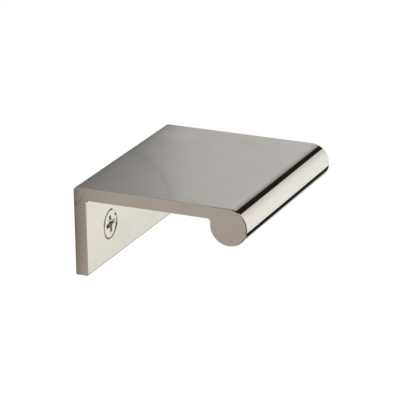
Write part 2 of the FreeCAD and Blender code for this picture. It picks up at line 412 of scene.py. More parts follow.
class PullSettings(bpy.types.PropertyGroup):
    """Section, length and finish of the pull."""

    length: measured("Length", PULL_BOX[1][0] - PULL_BOX[0][0], "Between the cut ends")
    projection: measured("Projection", -PULL_BOX[0][1], "Back face to the front of the bead")
    bottom: measured("Bottom", PULL_BOX[0][2], "Height of the plate's bottom edge")
    top: measured("Top", PULL_BOX[1][2], "Height of the tab's top face")
    plate: millimetres("Plate", 3.2, "Thickness of the screw plate")
    tab: millimetres("Tab", 3.175, "Thickness of the tab")
    bead: millimetres("Bead", 9.25, "Diameter of the bead along the front edge")
    outer_corner: millimetres("Outer corner", 1.0, "Radius between the back and the top")
    inner_corner: millimetres("Inner corner", 0.3, "Radius between the plate and the tab")
    hollow: millimetres("Hollow", 0.8, "Radius where the tab's underside meets the bead")
    edge_break: millimetres("Edge break", 0.25, "Polished radius on the cut ends")
    foot: millimetres("Foot", 0.4, "Radius along the plate's bottom front edge")
    heel: millimetres("Heel", 0.31, "Radius along the plate's bottom back edge")
    bore: millimetres("Bore", 4.0, "Diameter of each clearance hole")
    mouth: millimetres("Mouth", 7.261, "Diameter of each countersink at the plate")
    cone_angle: angle("Cone", 82.0, "Full angle of the countersinks")
    spacing: millimetres("Spacing", 25.4, "Distance between the screw axes")
    metal: colour("Metal", (0.717, 0.677, 0.62), "Reflected colour of the nickel")
    metal_dull: colour("Dull metal", (0.644, 0.595, 0.542), "Nickel where the polish is hazy")
    # Painted shade in the countersinks, in the colour of polishing compound; the dark stretches
    # and speck on the near screw's joint use it too
    residue_and_painted_shade: colour("Residue", (0.11, 0.09, 0.07), "Polishing compound in the countersinks")
    residue_shade: colour("Residue shade", (0.04, 0.03, 0.022), "The same where it is darkest")
    line: colour("Line", (0.34, 0.30, 0.23), "Compound left in the joint round a screw's head")
    line_shade: colour("Line shade", (0.26, 0.22, 0.165), "The same where it is darker")


class ScrewSettings(bpy.types.PropertyGroup):
    """Shape and finish of the two screws."""

    head: millimetres("Head", 6.9, "Diameter of the flat head")
    rim: millimetres("Rim", 0.1, "Height of the short cylinder under the flat face")
    rim_break: millimetres("Rim break", 0.04, "Bevel round the flat face")
    cone_angle: angle("Cone", 82.0, "Full angle of the head's underside")
    shank: millimetres("Shank", 3.0, "Diameter of the plain shank")
    crest: millimetres("Crest", 3.5, "Outside diameter of the thread")
    root: millimetres("Root", 2.5, "Diameter at the bottom of the thread")
    pitch: millimetres("Pitch", 1.27, "Distance from one turn of the thread to the next")
    ridge: number("Ridge", 0.26, "Half the width of the thread's ridge, as a share of the pitch")
    thread_step: millimetres("Thread step", 0.06, "Distance between the thread's rings")
    setback: millimetres("Setback", 0.1, "Start of the thread behind the back face")
    steps: IntProperty(name="Steps", description="Corners round the screw", default=96)
    length: measured("Length", SCREW_BOX[1][1] - SCREW_BOX[0][1], "Flat face to the tip")
    point: millimetres("Point", 2.4, "Length of the tapered point")
    tip: millimetres("Tip", 0.4, "Diameter of the blunt tip")
    recess_span: millimetres("Recess span", 4.4, "Driver recess, across its wings")
    recess_floor: millimetres("Recess floor", 2.3, "The same at the floor")
    wing: millimetres("Wing", 1.1, "Width of a wing at the flat face")
    wing_floor: millimetres("Wing floor", 0.9, "Width of a wing at the floor")
    recess_depth: millimetres("Recess depth", 2.1, "Depth of the wings")
    core: millimetres("Core", 2.2, "Round middle of the recess at the flat face")
    core_floor: millimetres("Core floor", 1.5, "The same at the floor")
    core_tip: millimetres("Core tip", 0.3, "Hollow cone below the floor")
    near_turn: angle("Near turn", 7.0, "Turn of the screw on the -X side")
    far_turn: angle("Far turn", 38.0, "Turn of the screw on the +X side")
    metal: colour("Metal", (0.690, 0.656, 0.580), "Reflected colour of the screws")
    recess_fill: colour("Recess", (0.62, 0.50, 0.33), "Compound packed into the recess")
    recess_shade: colour("Recess shade", (0.34, 0.25, 0.15), "The same where it is darkest")


class StudioSettings(bpy.types.PropertyGroup):
    """Camera, floor and the cards that the metal reflects."""

    azimuth: angle("Azimuth", -65.12, "Camera's bearing round the pull, 0 looking along +Y")
    elevation: angle("Elevation", 20.04, "Camera's height above the horizon")
    roll: angle("Roll", -0.88, "Camera's turn about its own line of sight")
    distance: millimetres("Distance", 608.0, "Camera to the point it looks at")
    field: angle("Field", 9.083, "Camera's angle of view")
    look_at: FloatVectorProperty(
        name="Look at", description="Point on the camera's line of sight",
        default=(0.00021, -0.02093, 0.00413), size=3, unit="LENGTH")
    floor_drop: millimetres("Floor drop", 200.0, "Plate's bottom edge down to the floor")
    room_light: number("Room light", 1.0, "Strength of the world")
    key_power: number("Key power", 1.6, "Front lamp, in watts")


class Shape:
    """Corners and faces of a mesh, with a chosen normal at each corner of each face."""

    def __init__(self):
        self.corners = []
        self.faces = []
        self.normals = []
        self.slots = []

    def corner(self, place):
        self.corners.append(tuple(place))
        return len(self.corners) - 1

    def face(self, corners, normals, slot=POLISH_SLOT):
        self.faces.append(tuple(corners))
        self.normals.extend(tuple(normal) for normal in normals)
        self.slots.append(slot)

    def piece(self, name, materials):
        """Make the object, smooth and with its own normals."""
        mesh = bpy.data.meshes.new(name)
        mesh.from_pydata(self.corners, [], self.faces)
        for material in materials:
            mesh.materials.append(material)
        for polygon, slot in zip(mesh.polygons, self.slots):
            polygon.use_smooth = True
            polygon.material_index = slot
        mesh.normals_split_custom_set(self.normals)
        mesh.validate(clean_customdata=False)
        return add_object(name, mesh)


def add_object(name, data):
    """Link a new object to the scene."""
    thing = bpy.data.objects.new(name, data)
    bpy.context.scene.collection.objects.link(thing)
    return thing


class Nodes:
    """A short way to write a node tree."""

    # Sockets of the colour version of a Mix node
    MIX_FACTOR = 0
    MIX_FIRST = 6
    MIX_SECOND = 7
    MIX_RESULT = 2

    def __init__(self, tree):
        self.tree = tree
        tree.nodes.clear()

    def add(self, kind, inputs=None, **options):
        """A node with some options set, and inputs that are values or other sockets."""
        made = self.tree.nodes.new(kind)
        for option, value in options.items():
            setattr(made, option, value)
        for key, value in (inputs or {}).items():
            if isinstance(value, bpy.types.NodeSocket):
                self.tree.links.new(value, made.inputs[key])
            else:
                made.inputs[key].default_value = value
        return made

    def place(self):
        """Position in the object's own frame."""
        return self.add("ShaderNodeTexCoord").outputs["Object"]

    def normal(self):
        """The X, Y and Z of the way that the surface faces."""
        return self.parts(self.add("ShaderNodeNewGeometry").outputs["Normal"])

    def noise(self, place, scale, detail, distortion):
        """Smooth noise about a half, with this many features to the metre."""
        made = self.add("ShaderNodeTexNoise", {
            "Vector": place, "Scale": scale, "Detail": detail, "Distortion": distortion})
        return made.outputs["Fac"]

    def remap(self, value, low, high, new_low, new_high):
        """A value moved from one range to another, and held inside it."""
        made = self.add("ShaderNodeMapRange", {
            "Value": value, "From Min": low, "From Max": high,
            "To Min": new_low, "To Max": new_high})
        return made.outputs["Result"]

    def blend(self, kind, factor, first, second):
        """Two colours, each a triple or a socket, brought together by this much."""
        inputs = {self.MIX_FACTOR: factor}
        for socket, tone in ((self.MIX_FIRST, first), (self.MIX_SECOND, second)):
            inputs[socket] = tone if isinstance(tone, bpy.types.NodeSocket) else opaque(tone)
        made = self.add("ShaderNodeMix", inputs, data_type="RGBA", blend_type=kind)
        return made.outputs[self.MIX_RESULT]

    def mix(self, factor, first, second):
        """A colour between two."""
        return self.blend("MIX", factor, first, second)

    def times(self, factor, first, second):
        """One colour multiplied by another."""
        return self.blend("MULTIPLY", factor, first, second)

    def ramp(self, value, stops):
        """A colour that follows a value through a list of places and tones."""
        low, high = stops[0][0], stops[-1][0]
        made = self.add("ShaderNodeValToRGB", {"Fac": self.remap(value, low, high, 0.0, 1.0)})
        elements = made.color_ramp.elements
        while len(elements) < len(stops):
            elements.new(1.0)
        for element, (place, tone) in zip(elements, stops):
            element.position = (place - low) / (high - low)
            element.color = opaque(tone)
        return made.outputs["Color"]

    def sums(self, operation, *values):
        """One step of arithmetic on numbers or sockets."""
        inputs = dict(enumerate(values))
        return self.add("ShaderNodeMath", inputs, operation=operation).outputs["Value"]

    def parts(self, vector):
        """The X, Y and Z of a vector."""
        made = self.add("ShaderNodeSeparateXYZ", {"Vector": vector}).outputs
        return made["X"], made["Y"], made["Z"]

    def bump(self, height, distance):
        """A normal from a height of this many metres."""
        made = self.add("ShaderNodeBump", {
            "Height": height, "Strength": 1.0, "Distance": distance})
        return made.outputs["Normal"]

    def finish(self, shader):
        """Send a shader to the output."""
        self.add("ShaderNodeOutputMaterial", {"Surface": shader})

    def principled(self, tone, metallic, roughness, normal):
        """A Principled shader, sent to the output."""
        shader = self.add("ShaderNodeBsdfPrincipled", {
            "Base Color": tone, "Metallic": metallic, "Roughness": roughness, "Normal": normal})
        self.finish(shader.outputs["BSDF"])


def opaque(value):
    """A colour with full alpha."""
    return (*value, 1.0)


def new_material(name):
    """An empty node material and its writer."""
    material = bpy.data.materials.new(name)
    material.use_nodes = True
    return material, Nodes(material.node_tree)


# The pull's materials

def polished_nickel(name, metal, dull_metal, wave_height, painted_and_worn=False):
    """Mirror-polished nickel: slight waves in the face, haze and swirls from the buff, and on
    the pull painted shade and painted highlights.
    """
    material, nodes = new_material(name)
    place = nodes.place()
    waves = nodes.noise(place, *WAVES)
    swirl = nodes.noise(place, *SWIRLS)
    haze = nodes.remap(swirl, *HAZE)
    dull = nodes.remap(swirl, *DULLNESS)
    tone = nodes.mix(dull, metal, dull_metal)
    if painted_and_worn:
        # Painted shade along the back edge, strongest on faces that look along X or Z
        tone = nodes.times(sideways(nodes), tone, painted_back_shade(nodes, place))
        tone = nodes.times(upward(nodes), tone, buff_arc(nodes, place))
        tone = nodes.times(1.0, tone, plate_tint(nodes, place))
        # Darker spots and bands, a clouded patch, painted highlights and painted lighter
        # reflection
        for middle, turn, half_sizes, spot_tone in SPOTS_AND_PAINTED_LIGHT:
            tone = nodes.times(spot(nodes, place, middle, turn, half_sizes), tone, spot_tone)
        # Painted dark reflection on the rims of the bead's ends
        tone = nodes.mix(painted_rim_mask(nodes, place), tone, RIM_PAINTED_DARK)
    nodes.principled(tone, metallic=1.0, roughness=haze, normal=nodes.bump(waves, wave_height))
    return material


def sideways(nodes):
    """One on faces that look along X or Z, nought on faces that look along Y."""
    along_y = nodes.sums("ABSOLUTE", nodes.normal()[1])
    return nodes.sums("SUBTRACT", 1.0, nodes.sums("POWER", along_y, SIDEWAYS_POWER))


def upward(nodes):
    """One on faces that look up, nought from a steep slope onwards."""
    return nodes.remap(nodes.normal()[2], *UPWARD, 0.0, 1.0)


def painted_back_shade(nodes, place):
    """Painted shade towards the back edge, for the darker reflection of its rolled-off edge."""
    stops = []
    for y, tone in PAINTED_BACK_SHADE:
        shade = (tone, tone ** BACK_GREEN, tone ** BACK_BLUE * BACK_WARMTH)
        stops.append((y * MM, shade))
    return nodes.ramp(nodes.parts(place)[1], stops)


def plate_tint(nodes, place):
    """The slightly yellower nickel of the screw plate."""
    far, near = PLATE_TINT_REACH
    return nodes.ramp(nodes.parts(place)[1], [(far * MM, PLAIN_WHITE), (near * MM, PLATE_TINT)])


def spot(nodes, place, middle, turn, half_sizes):
    """One inside an egg-shaped region with a soft edge, nought outside it."""
    local = nodes.add("ShaderNodeMapping", {
        "Vector": place, "Location": [value * MM for value in middle],
        "Rotation": [math.radians(value) for value in turn],
        "Scale": [value * MM for value in half_sizes]}, vector_type="TEXTURE")
    reach = nodes.add("ShaderNodeVectorMath", {0: local.outputs["Vector"]}, operation="LENGTH")
    return nodes.remap(reach.outputs["Value"], SPOT_EDGE, 1.0, 1.0, 0.0)


def painted_rim_mask(nodes, place):
    """One on the rounded rims of the bead's two ends, where a dark reflection is painted."""
    x, _, z = nodes.normal()
    slope = nodes.sums("ABSOLUTE", x)
    rim = nodes.sums("MULTIPLY", nodes.remap(slope, *RIM_START, 0.0, 1.0),
                     nodes.remap(slope, *RIM_END, 1.0, 0.0))
    side = nodes.sums("MULTIPLY", nodes.remap(z, *RIM_BOTTOM, 0.0, 1.0),
                      nodes.remap(z, *RIM_TOP, 1.0, 0.0))
    bead = nodes.remap(nodes.parts(place)[1], *RIM_REACH, 1.0, 0.0)
    return nodes.sums("MULTIPLY", rim, nodes.sums("MULTIPLY", side, bead))


def buff_arc(nodes, place):
    """A faint curved mark that the buff left across the top face."""
    x, y, _ = nodes.parts(place)
    off_x = nodes.sums("SUBTRACT", x, BUFF_CENTRE[0])
    off_y = nodes.sums("SUBTRACT", y, BUFF_CENTRE[1])
    reach = nodes.sums("SQRT", nodes.sums(
        "ADD", nodes.sums("MULTIPLY", off_x, off_x), nodes.sums("MULTIPLY", off_y, off_y)))
    stops = [(radius, (tone, tone, tone)) for radius, tone in BUFF_TONES]
    return nodes.ramp(reach, stops)


def compound(name, light, dark, grain, painted_spots=()):
    """Dried polishing compound: dull, waxy and mottled, under any painted shade and highlight
    spots.
    """
    material, nodes = new_material(name)
    place = nodes.place()
    mottle = nodes.remap(nodes.noise(place, grain, *MOTTLE), *MOTTLE_RANGE, 0.0, 1.0)
    tone = nodes.mix(mottle, dark, light)
    for middle, turn, half_sizes, shade in painted_spots:
        tone = nodes.mix(spot(nodes, place, middle, turn, half_sizes), tone, shade)
    roughness = nodes.remap(mottle, 0.0, 1.0, *COMPOUND_ROUGHNESS)
    nodes.principled(tone, metallic=0.0, roughness=roughness,
                     normal=nodes.bump(mottle, COMPOUND_HEIGHT))
    return material


# The pull

@dataclass
class Arc:
    """One round stretch of the section: hollow ones curve into the metal."""

    y: float
    z: float
    radius: float
    start: float
    end: float
    steps: int
    hollow: bool = False

    def points(self, inset):
        """Places and outward normals along the arc, with the outline drawn in by inset."""
        side = -1 if self.hollow else 1
        radius = self.radius - side * inset
        made = []
        for step in range(self.steps + 1):
            turn = self.start + (self.end - self.start) * step / self.steps
            y, z = math.cos(turn), math.sin(turn)
            made.append((self.y + radius * y, self.z + radius * z, side * y, side * z))
        return made


def section_arcs(pull):
    """The section's round stretches in order, anticlockwise with +Y to the right."""
    under = pull.top - pull.tab
    bead = pull.bead / 2
    bead_y = bead - pull.projection
    bead_z = pull.top - bead
    hollow_z = under - pull.hollow
    reach = bead + pull.hollow
    hollow_y = bead_y + math.sqrt(reach ** 2 - (hollow_z - bead_z) ** 2)
    meeting = math.atan2(hollow_z - bead_z, hollow_y - bead_y)
    foot = pull.foot
    heel = pull.heel
    outer = pull.outer_corner
    inner = pull.inner_corner
    down = 3 * QUARTER_TURN
    return [
        Arc(-outer, pull.top - outer, outer, 0.0, QUARTER_TURN, OUTER_STEPS),
        Arc(bead_y, bead_z, bead, QUARTER_TURN, FULL_TURN + meeting, BEAD_STEPS),
        Arc(hollow_y, hollow_z, pull.hollow, HALF_TURN + meeting, QUARTER_TURN,
            HOLLOW_STEPS, hollow=True),
        Arc(-pull.plate - inner, under - inner, inner, QUARTER_TURN, 0.0,
            INNER_STEPS, hollow=True),
        Arc(-pull.plate + foot, pull.bottom + foot, foot, HALF_TURN, down, FOOT_STEPS),
        Arc(-heel, pull.bottom + heel, heel, down, FULL_TURN, FOOT_STEPS),
    ]


def end_stations(pull):
    """X, inset and tilt of the rings from the -X end to the +X end."""
    made = []
    for side in (-1, 1):
        rings = []
        for step in range(EDGE_STEPS + 1):
            turn = QUARTER_TURN * step / EDGE_STEPS
            x = pull.length / 2 - pull.edge_break * (1 - math.sin(turn))
            inset = pull.edge_break * (1 - math.cos(turn))
            rings.append((side * x, inset, side * turn))
        made += reversed(rings) if side < 0 else rings
    return made


def circle(centre_x, y, radius, steps, centre_z=0.0):
    """Places round an axis that runs along Y."""
    made = []
    for step in range(steps):
        turn = FULL_TURN * step / steps
        made.append((centre_x + radius * math.cos(turn), y, centre_z + radius * math.sin(turn)))
    return made


def indices(ring):
    """The corners of a ring, without their normals."""
    return [index for index, normal in ring]


def build_skin(shape, pull):
    """Rings of the section from end to end, leaving the plate's two faces open.

    The corners of these two faces come back, front and back.
    """
    arcs = section_arcs(pull)
    starts = []
    count = 0
    for arc in arcs:
        starts.append(count)
        count += arc.steps + 1
    inner_end = starts[INNER_ARC] + arcs[INNER_ARC].steps
    back_end = starts[HEEL_ARC] + arcs[HEEL_ARC].steps
    open_strips = (inner_end, back_end)

    rings = []
    for x, inset, tilt in end_stations(pull):
        ring = []
        for arc in arcs:
            for y, z, out_y, out_z in arc.points(inset):
                normal = (math.sin(tilt), out_y * math.cos(tilt), out_z * math.cos(tilt))
                ring.append((shape.corner((x, y, z)), normal))
        rings.append(ring)

    middle = len(rings) // 2 - 1
    for place, (ring, following) in enumerate(zip(rings, rings[1:])):
        for index in range(count):
            onward = (index + 1) % count
            if place == middle and index in open_strips:
                continue
            quad = (ring[index], ring[onward], following[onward], following[index])
            shape.face(indices(quad), [normal for index, normal in quad])

    shape.face(indices(reversed(rings[0])), [(-1, 0, 0)] * count)
    shape.face(indices(rings[-1]), [(1, 0, 0)] * count)

    near, far = rings[middle], rings[middle + 1]
    front = [near[inner_end], near[inner_end + 1], far[inner_end + 1], far[inner_end]]
    back = [near[back_end], near[0], far[0], far[back_end]]
    return indices(front), indices(back)


def fill_holed(shape, frame_corners, holes, normal):
    """A flat face between four corners and round holes in it."""
    loops = []
    corners = []
    for loop in (frame_corners, *holes):
        loops.append([Vector(shape.corners[index]) for index in loop])
        corners += loop
    places = [place for loop in loops for place in loop]
    for triangle in tessellate_polygon(loops):
        a, b, c = (places[index] for index in triangle)
        facing = (b - a).cross(c - a).dot(Vector(normal))
        order = triangle if facing > 0 else reversed(triangle)
        shape.face([corners[index] for index in order], [normal] * 3)


def ring_wall(shape, outer, inner, axis_x, lean, slot):
    """The wall between two circles of a hole, its normals facing the hole's axis."""
    count = len(outer)
    for step in range(count):
        onward = (step + 1) % count
        quad = (outer[step], outer[onward], inner[onward], inner[step])
        normals = []
        for index in quad:
            x, _, z = shape.corners[index]
            radial = Vector((axis_x - x, 0, -z)).normalized()
            normals.append(radial * math.cos(lean) + Vector(TO_HAND) * math.sin(lean))
        shape.face(quad, normals, slot)


def build_pull(pull):
    """The pull as one closed mesh, with its countersunk holes."""
    shape = Shape()
    front, back = build_skin(shape, pull)
    half_cone = pull.cone_angle / 2
    cone_depth = (pull.mouth - pull.bore) / 2 / math.tan(half_cone)
    mouths = []
    exits = []
    for side in (-1, 1):
        axis_x = side * pull.spacing / 2
        loops = []
        for y, diameter in ((-pull.plate, pull.mouth), (-pull.plate + cone_depth, pull.bore),
                            (0.0, pull.bore)):
            places = circle(axis_x, y, diameter / 2, HOLE_STEPS)
            loops.append([shape.corner(place) for place in places])
        mouth, neck, out = loops
        # The countersink's cone takes the dark compound colour, as painted shade for the gap
        # round each head
        ring_wall(shape, mouth, neck, axis_x, half_cone, COMPOUND_SLOT)
        ring_wall(shape, neck, out, axis_x, 0.0, POLISH_SLOT)
        mouths.append(mouth)
        exits.append(out)
    fill_holed(shape, front, mouths, TO_HAND)
    fill_holed(shape, back, exits, (0, 1, 0))
    return shape


# The screws

def plain(radius):
    """A round ring's radius, whatever the turn."""
    return lambda turn: radius


def lathe(name, rings, steps):
    """A closed turned mesh about the Y axis: each ring is a depth and a radius by turn."""
    corners = []
    for y, radius in rings:
        for step in range(steps):
            turn = FULL_TURN * step / steps
            reach = radius(turn)
            corners.append((reach * math.cos(turn), y, reach * math.sin(turn)))
    faces = []
    for ring in range(len(rings) - 1):
        low = ring * steps
        high = low + steps
        for step in range(steps):
            onward = (step + 1) % steps
            faces.append((low + step, low + onward, high + onward, high + step))
    last = (len(rings) - 1) * steps
    faces.append(tuple(reversed(range(steps))))
    faces.append(tuple(range(last, last + steps)))
    mesh = bpy.data.meshes.new(name)
    mesh.from_pydata(corners, [], faces)
    return add_object(name, mesh)


def thread_ring(screw, y, start):
    """Radius round the thread at this depth: a narrow ridge on a wide root."""
    taper = min(1.0, (screw.length - y) / screw.point)
    tip = screw.tip / 2
    crest = tip + (screw.crest / 2 - tip) * taper
    root = tip + (screw.root / 2 - tip) * taper
    run_in = min(1.0, (y - start) / screw.pitch)

    def radius(turn):
        phase = (y / screw.pitch + turn / FULL_TURN) % 1.0
        ridge = max(0.0, 1.0 - abs(phase - 0.5) / screw.ridge)
        return root + (crest - root) * ridge * run_in
    return radius


def cone_end(screw):
    """Depth at which the head's cone meets the shank."""
    return screw.rim + (screw.head / 2 - screw.shank / 2) / math.tan(screw.cone_angle / 2)


def wing_size(screw, depth):
    """Length and width of the recess's wings at this depth."""
    share = depth / screw.recess_depth
    span = screw.recess_span + (screw.recess_floor - screw.recess_span) * share
    width = screw.wing + (screw.wing_floor - screw.wing) * share
    return span, width


def screw_rings(screw, thread_start):
    """Depth and radius of the screw's rings, from the flat face to the tip."""
    head = screw.head / 2
    shank = screw.shank / 2
    run_out = thread_start + screw.pitch / 4
    rings = [
        (0.0, plain(head - screw.rim_break)),
        (screw.rim_break, plain(head)),
        (screw.rim, plain(head)),
        (cone_end(screw), plain(shank)),
        (thread_start, plain(shank)),
    ]
    threaded = screw.length - run_out
    steps = round(threaded / screw.thread_step)
    for step in range(steps + 1):
        y = run_out + threaded * step / steps
        rings.append((y, thread_ring(screw, y, run_out)))
    return rings


def wing_cutter(screw, turn):
    """A tapered bar across the head, standing a little above the flat face."""
    corners = []
    for depth in (-screw.recess_depth / CUTTER_RISE, screw.recess_depth):
        span, width = wing_size(screw, depth)
        for side_x, side_z in ((-1, -1), (1, -1), (1, 1), (-1, 1)):
            corners.append(Vector((side_x * span / 2, depth, side_z * width / 2)))
    faces = [(0, 1, 2, 3), (7, 6, 5, 4), (0, 4, 5, 1), (1, 5, 6, 2), (2, 6, 7, 3), (3, 7, 4, 0)]
    mesh = bpy.data.meshes.new("wing_cutter")
    mesh.from_pydata(corners, [], faces)
    mesh.transform(Matrix.Rotation(turn, 4, "Y"))
    return add_object("wing_cutter", mesh)


def core_cutter(screw):
    """The round middle of the recess, with its pointed floor."""
    above = screw.recess_depth / CUTTER_RISE
    flare = (screw.core - screw.core_floor) / screw.recess_depth
    return lathe("core_cutter", [
        (-above, plain(screw.core / 2 + flare * above / 2)),
        (screw.recess_depth, plain(screw.core_floor / 2)),
        (screw.recess_depth + screw.core_tip, plain(screw.core_floor / 2 / CORE_POINT)),
    ], CORE_STEPS)


def subtract(target, cutter):
    """Cut one object from another and remove the cutter."""
    cut = target.modifiers.new("cut", "BOOLEAN")
    cut.operation = "DIFFERENCE"
    cut.solver = "EXACT"
    cut.object = cutter
    bpy.context.view_layer.update()
    evaluated = target.evaluated_get(bpy.context.evaluated_depsgraph_get())
    mesh = bpy.data.meshes.new_from_object(evaluated)
    target.modifiers.clear()
    target.data = mesh
    bpy.data.objects.remove(cutter)


def face_outwards(thing):
    """Turn every face of a closed mesh to look outwards."""
    work = bmesh.new()
    work.from_mesh(thing.data)
    bmesh.ops.recalc_face_normals(work, faces=work.faces)
    work.to_mesh(thing.data)
    work.free()


def mark_screw(mesh, screw):
    """Smooth the faces but for sharp edges, and put compound in the recess and on the cone."""
    cone_depth = cone_end(screw)
    for polygon in mesh.polygons:
        polygon.use_smooth = True
        centre = polygon.center
        span, _ = wing_size(screw, centre.y)
        recessed = math.hypot(centre.x, centre.z) < span / 2 + screw.rim_break
        if centre.y > screw.rim_break and recessed:
            polygon.material_index = COMPOUND_SLOT
        elif screw.rim_break < centre.y < cone_depth:
            polygon.material_index = RIM_SLOT
    mesh.set_sharp_from_angle(angle=math.radians(CREASE))


def build_screw(name, screw, pull, side, turn, materials):
    """One screw, cut, turned and seated in its hole."""
    top = SCREW_BOX[0][1]
    thing = lathe(name, screw_rings(screw, screw.setback - top), screw.steps)
    face_outwards(thing)
    for cutter in (core_cutter(screw), wing_cutter(screw, 0.0), wing_cutter(screw, QUARTER_TURN)):
        face_outwards(cutter)
        subtract(thing, cutter)
    thing.name = name
    mesh = thing.data
    mesh.materials.clear()
    for material in materials:
        mesh.materials.append(material)
    mesh.transform(Matrix.Rotation(turn, 4, Vector(TO_HAND)))
    mark_screw(mesh, screw)
    mesh.transform(Matrix.Translation(Vector((side * pull.spacing / 2, top, 0.0))))
    return thing


def line_at(line, degrees):
    """Inner and outer radius of the compound's line at this clock angle, in metres."""
    first = line[0]
    for low, high in zip(line, line[1:] + [(FULL_CLOCK, *first[1:])]):
        if low[0] <= degrees <= high[0]:
            share = (degrees - low[0]) / (high[0] - low[0])
            middle = low[1] + (high[1] - low[1]) * share
            width = low[2] + (high[2] - low[2]) * share
            return (middle - width / 2) * MM, (middle + width / 2) * MM
    raise ValueError("The line's angles don't go round the clock")


def add_flat(shape, places, slot):
    """One flat face that looks to the hand."""
    shape.face([shape.corner(place) for place in places], [TO_HAND] * len(places), slot)


def add_band(shape, axis_x, y, reaches, slot):
    """A flat band round a screw's axis; reaches gives its two radii by clock degrees."""
    rims = []
    for degrees in range(FULL_CLOCK):
        turn = math.radians(degrees)
        radii = reaches(degrees)
        places = [(axis_x + radius * math.sin(turn), y, radius * math.cos(turn))
                  for radius in radii]
        rims.append((radii[1] > radii[0], places))
    for (wide, pair), (next_wide, following) in zip(rims, rims[1:] + rims[:1]):
        if wide and next_wide:
            add_flat(shape, (pair[0], following[0], following[1], pair[1]), slot)


def add_wear_and_glint(shape, axis_x, y):
    """What only the near screw has: darker stretches of the line, a speck and a polished sliver
    for a glint.
    """
    dark_y = y - (DARK_HEIGHT - FILM_HEIGHT) * MM
    add_band(shape, axis_x, dark_y, lambda degrees: line_at(NEAR_DARK, degrees), DARK_SLOT)
    degrees, distance, radius = SPECK
    turn = math.radians(degrees)
    x = axis_x + distance * MM * math.sin(turn)
    z = distance * MM * math.cos(turn)
    add_flat(shape, circle(x, y, radius * MM, SPECK_STEPS, z), DARK_SLOT)
    # The polished sliver over the recess is there for its glint
    add_flat(shape, [(axis_x + off_x * MM, y, off_z * MM) for off_x, off_z in GLINT_SLIVER], POLISH_SLOT)


def build_film(name, screw, pull, side, line, materials):
    """The joint round a screw's head: bridged by the polish, with a line of compound on it."""
    axis_x = side * pull.spacing / 2
    shape = Shape()
    lap = BRIDGE_LAP * MM
    bridge = (screw.head / 2 - lap, pull.mouth / 2 + lap)
    add_band(shape, axis_x, -pull.plate - BRIDGE_HEIGHT * MM, lambda degrees: bridge,
             POLISH_SLOT)
    y = -pull.plate - FILM_HEIGHT * MM
    add_band(shape, axis_x, y, lambda degrees: line_at(line, degrees), COMPOUND_SLOT)
    if side < 0:
        add_wear_and_glint(shape, axis_x, y)
    return shape.piece(name, materials)


# The studio

def card_material(name, along, tones, tint):
    """Plain glow for a reflected card, its tone changing along these shares of X and Y."""
    material, nodes = new_material(name)
    x, y, _ = nodes.parts(nodes.place())
    share_x, share_y = along
    reach = nodes.sums("ADD", nodes.sums("MULTIPLY", x, share_x),
                       nodes.sums("MULTIPLY", y, share_y))
    stops = [(place, [tone * share for share in tint]) for place, tone in tones]
    glow = nodes.add("ShaderNodeEmission", {"Color": nodes.ramp(reach, stops)})
    nodes.finish(glow.outputs["Emission"])
    return material


def sheet_mesh(name, corners, material):
    """A mesh of one face with four corners."""
    mesh = bpy.data.meshes.new(name)
    mesh.from_pydata(corners, [], [(0, 1, 2, 3)])
    mesh.materials.append(material)
    return mesh


def add_card(name, corners, along, tones, tint):
    """A flat card that only reflections see."""
    card = add_object(name, sheet_mesh(name, corners, card_material(name, along, tones, tint)))
    card.visible_camera = False
    card.visible_diffuse = False
    card.visible_shadow = False


def floor_material():
    """White sheet: the camera sees it white but for the pull's shadow."""
    material, nodes = new_material("floor")
    light_path = nodes.add("ShaderNodeLightPath").outputs
    seen = nodes.sums("MULTIPLY", light_path["Is Camera Ray"], FLOOR_GLOW)
    mirrored = nodes.sums("MAXIMUM", light_path["Is Glossy Ray"],
                          light_path["Is Transmission Ray"])
    share = nodes.sums("MAXIMUM", seen, mirrored)
    sheet = nodes.add("ShaderNodeBsdfDiffuse", {"Color": opaque(FLOOR_WHITE)})
    glow = nodes.add("ShaderNodeEmission", {"Color": opaque(PLAIN_WHITE)})
    both = nodes.add("ShaderNodeMixShader", {
        0: share, 1: sheet.outputs["BSDF"], 2: glow.outputs["Emission"]})
    nodes.finish(both.outputs["Shader"])
    return material


def level_corners(sides, ends, height):
    """Corners of a level sheet between two places in X and two in Y."""
    left, right = sides
    near, far = ends
    return [(left, near, height), (right, near, height), (right, far, height),
            (left, far, height)]


def build_floor(height):
    """A wide white floor below the pull."""
    sides = (-FLOOR_HALF_WIDTH, FLOOR_HALF_WIDTH)
    mesh = sheet_mesh("floor", level_corners(sides, sides, height), floor_material())
    add_object("floor", mesh)


def build_world(studio):
    """An even white room."""
    world = bpy.data.worlds.new("room")
    world.use_nodes = True
    bpy.context.scene.world = world
    nodes = Nodes(world.node_tree)
    sky = nodes.add("ShaderNodeBackground", {
        "Color": opaque(PLAIN_WHITE), "Strength": studio.room_light})
    nodes.add("ShaderNodeOutputWorld", {"Surface": sky.outputs["Background"]})


def level_card(name, sides, ends, height, tones, tint=PLAIN_WHITE, along=ALONG_Y):
    """A level card between two places in X and two in Y."""
    add_card(name, level_corners(sides, ends, height), along, tones, tint)


def slanted_card(name, sides, ends, height, tones, slant, true_x):
    """A level card whose tones go by Y plus a share of X, and are true to Y at one X."""
    askew = [(place + slant * true_x, tone) for place, tone in tones]
    level_card(name, sides, ends, height, askew, along=(slant, 1.0))


def upright_card(name, y, low, high, tones, tint=PLAIN_WHITE):
    """An upright card across the room, facing along Y."""
    left, right = -CARD_REACH, CARD_REACH
    add_card(name, [(left, y, low), (right, y, low), (right, y, high), (left, y, high)],
             ALONG_X, tones, tint)


def span(tones):
    """First and last place of a list of tones."""
    return tones[0][0], tones[-1][0]


